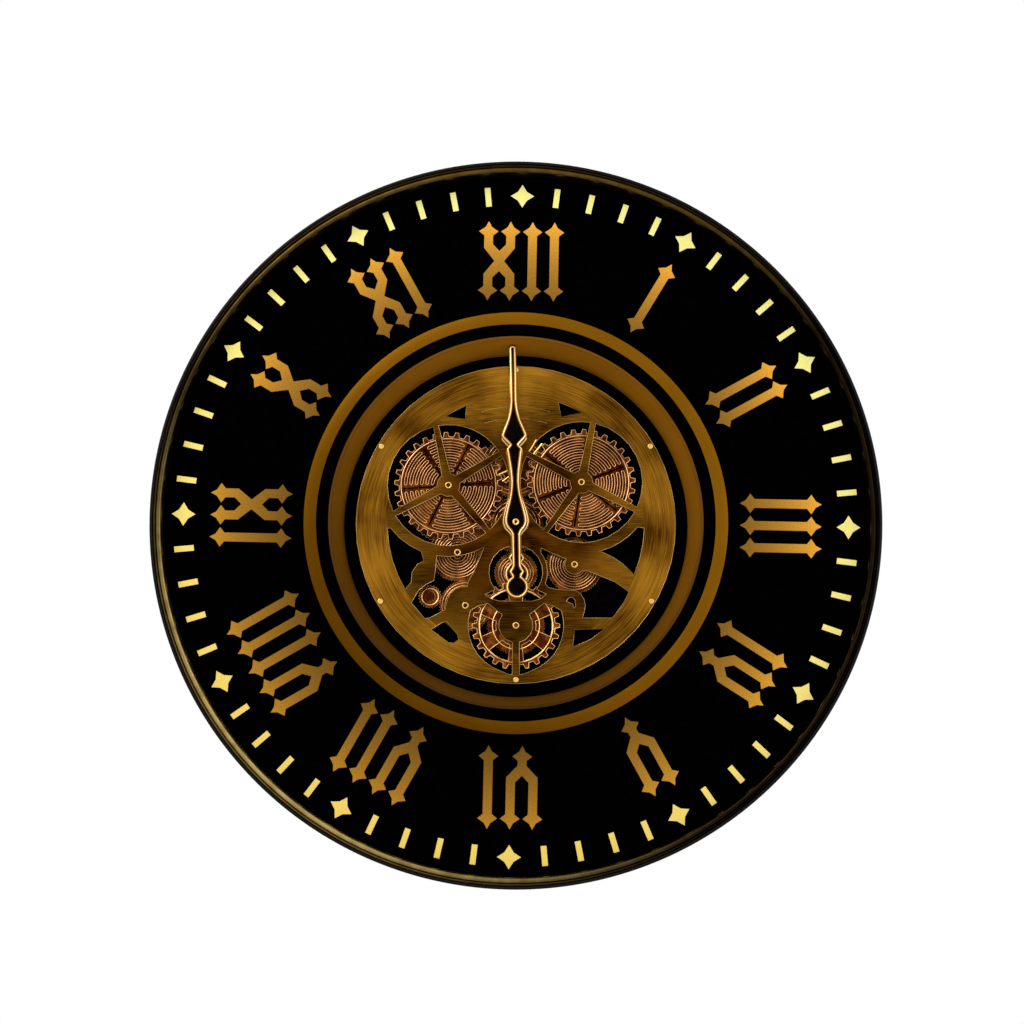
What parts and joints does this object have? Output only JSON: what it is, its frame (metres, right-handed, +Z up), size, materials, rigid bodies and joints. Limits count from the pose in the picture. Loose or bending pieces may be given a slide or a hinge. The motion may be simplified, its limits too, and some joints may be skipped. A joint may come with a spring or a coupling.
{
  "type": "gear wall clock",
  "caption": "Round wall clock: black dial with raised Roman numerals round a sunk skeleton movement of meshed brass wheels, under two spade hands.",
  "frame": {"origin": "on the axis of the hands, halfway between the wall and the front edge of the case", "axes": "+X to the viewer's right, +Z up, +Y into the wall"},
  "size_m": [0.594, 0.07, 0.594],
  "materials": {
    "case_black": "gloss black",
    "bezel_bronze": "aged bronze",
    "dial_black": "satin black",
    "dial_sheet": "satin black with raised gold numerals and marks",
    "ring_gold": "satin gold",
    "plate_brass": "brushed in rings",
    "screw_brass": "polished",
    "wheel_copper": "reddish brass with bright engraved lines",
    "fine_copper": "reddish brass",
    "driver_gold": "bright gold",
    "arbor_steel": "turned",
    "hand_black": "black with thin bright gold edges",
    "moulded_black": "moulded",
    "panel_black": "matt black",
    "back_board": "hardboard, matt black",
    "zinc_steel": "zinc plated",
    "cell_jacket": "printed film",
    "lead_red": "insulated"
  },
  "bodies": {
    "case": {"case_band": "case_black", "bezel_ring": "bezel_bronze", "dial_plate": "dial_black", "dial_sheet": "dial_sheet", "dial_well": "dial_black", "outer_dial_ring": "ring_gold", "well_ring": "ring_gold", "front_plate": "plate_brass", "plate_screw_1": "screw_brass", "plate_screw_2": "screw_brass", "plate_screw_3": "screw_brass", "plate_screw_4": "screw_brass", "plate_screw_5": "screw_brass", "plate_screw_6": "screw_brass", "plate_pillar_1": "arbor_steel", "plate_pillar_2": "arbor_steel", "plate_pillar_3": "arbor_steel", "back_plate": "panel_black", "toothed_ring": "fine_copper", "fixing_bush": "screw_brass", "fixing_nut": "screw_brass", "quartz_movement": "moulded_black", "quartz_cell": "cell_jacket", "gear_motor": "moulded_black", "battery_box": "moulded_black", "gear_cell": "cell_jacket", "motor_leads": "lead_red", "back_panel": "back_board", "case_post_1": "zinc_steel", "case_post_2": "zinc_steel", "case_post_3": "zinc_steel", "case_post_4": "zinc_steel", "panel_screw_1": "zinc_steel", "panel_screw_2": "zinc_steel", "panel_screw_3": "zinc_steel", "panel_screw_4": "zinc_steel", "hanger_plate": "zinc_steel", "hanger_rivet_1": "zinc_steel", "hanger_rivet_2": "zinc_steel"},
    "minute_group": {"minute_hand": "hand_black", "minute_arbor": "arbor_steel", "hand_cap": "screw_brass"},
    "hour_group": {"hour_hand": "hand_black", "hour_tube": "screw_brass"},
    "set_knob_body": {"set_knob": "moulded_black"},
    "great_left_body": {"great_wheel_left": "wheel_copper"},
    "great_right_body": {"great_wheel_right": "wheel_copper"},
    "great_pinion_body": {"great_pinion": "driver_gold", "third_wheel": "fine_copper"},
    "centre_wheel_body": {"centre_wheel": "fine_copper"},
    "lower_wheel_body": {"lower_wheel": "fine_copper"},
    "idler_left_body": {"idler_left": "fine_copper"},
    "idler_right_body": {"idler_right": "fine_copper"},
    "left_wheel_body": {"left_wheel": "fine_copper"},
    "right_wheel_body": {"right_wheel": "fine_copper"},
    "lower_left_wheel_body": {"lower_left_wheel": "fine_copper"},
    "bottom_wheel_body": {"bottom_wheel": "wheel_copper", "bottom_fine_wheel": "fine_copper"},
    "motor_pinion_body": {"motor_pinion": "driver_gold"},
    "switch_body": {"gear_switch": "lead_red"}
  },
  "joints": [
    {"name": "minute_turn", "type": "hinge", "parent": "case", "child": "minute_group", "pos_m": [0, 0, 0], "axis": [0, 1, 0], "continuous": true},
    {"name": "hour_turn", "type": "hinge", "parent": "case", "child": "hour_group", "pos_m": [0, 0, 0], "axis": [0, 1, 0], "continuous": true},
    {"name": "knob_turn", "type": "hinge", "parent": "case", "child": "set_knob_body", "pos_m": [0, 0.033, 0.016], "axis": [0, 1, 0], "continuous": true},
    {"name": "great_left_turn", "type": "hinge", "parent": "case", "child": "great_left_body", "pos_m": [-0.05591, 0.0081, 0.03215], "axis": [0, 1, 0], "continuous": true},
    {"name": "great_right_turn", "type": "hinge", "parent": "case", "child": "great_right_body", "pos_m": [0.05441, 0.0081, 0.03465], "axis": [0, 1, 0], "continuous": true},
    {"name": "great_pinion_turn", "type": "hinge", "parent": "case", "child": "great_pinion_body", "pos_m": [-0.0011, 0.0081, 0.04901], "axis": [0, 1, 0], "continuous": true},
    {"name": "centre_wheel_turn", "type": "hinge", "parent": "case", "child": "centre_wheel_body", "pos_m": [0, 0.0119, 0], "axis": [0, 1, 0], "continuous": true},
    {"name": "lower_wheel_turn", "type": "hinge", "parent": "case", "child": "lower_wheel_body", "pos_m": [0, 0.0119, -0.04028], "axis": [0, 1, 0], "continuous": true},
    {"name": "idler_left_turn", "type": "hinge", "parent": "case", "child": "idler_left_body", "pos_m": [-0.03168, 0.0119, 0.00389], "axis": [0, 1, 0], "continuous": true},
    {"name": "idler_right_turn", "type": "hinge", "parent": "case", "child": "idler_right_body", "pos_m": [0.02636, 0.0119, -0.01355], "axis": [0, 1, 0], "continuous": true},
    {"name": "left_wheel_turn", "type": "hinge", "parent": "case", "child": "left_wheel_body", "pos_m": [-0.04822, 0.0119, -0.02385], "axis": [0, 1, 0], "continuous": true},
    {"name": "right_wheel_turn", "type": "hinge", "parent": "case", "child": "right_wheel_body", "pos_m": [0.04842, 0.0119, -0.03391], "axis": [0, 1, 0], "continuous": true},
    {"name": "lower_left_wheel_turn", "type": "hinge", "parent": "case", "child": "lower_left_wheel_body", "pos_m": [-0.04165, 0.0119, -0.06783], "axis": [0, 1, 0], "continuous": true},
    {"name": "bottom_wheel_turn", "type": "hinge", "parent": "case", "child": "bottom_wheel_body", "pos_m": [0.00007, 0.0081, -0.08426], "axis": [0, 1, 0], "continuous": true},
    {"name": "motor_pinion_turn", "type": "hinge", "parent": "case", "child": "motor_pinion_body", "pos_m": [-0.07101, 0.0119, -0.05996], "axis": [0, 1, 0], "continuous": true},
    {"name": "switch_slide", "type": "slide", "parent": "case", "child": "switch_body", "axis": [1, 0, 0], "range_m": [0, 0.005]}
  ],
  "couplings": [
    {"joint": "hour_turn", "follows": "minute_turn", "ratio": 0.083333},
    {"joint": "knob_turn", "follows": "minute_turn", "ratio": -1},
    {"joint": "great_pinion_turn", "follows": "great_left_turn", "ratio": -3},
    {"joint": "great_right_turn", "follows": "great_left_turn", "ratio": 1},
    {"joint": "centre_wheel_turn", "follows": "great_left_turn", "ratio": 3.45},
    {"joint": "lower_wheel_turn", "follows": "great_left_turn", "ratio": -4.5},
    {"joint": "idler_left_turn", "follows": "great_left_turn", "ratio": -8.625},
    {"joint": "idler_right_turn", "follows": "great_left_turn", "ratio": -11.5},
    {"joint": "left_wheel_turn", "follows": "great_left_turn", "ratio": 3.3934},
    {"joint": "right_wheel_turn", "follows": "great_left_turn", "ratio": 3.3934},
    {"joint": "lower_left_wheel_turn", "follows": "great_left_turn", "ratio": -3.6964},
    {"joint": "bottom_wheel_turn", "follows": "great_left_turn", "ratio": 3.3387},
    {"joint": "motor_pinion_turn", "follows": "great_left_turn", "ratio": 8.625}
  ]
}
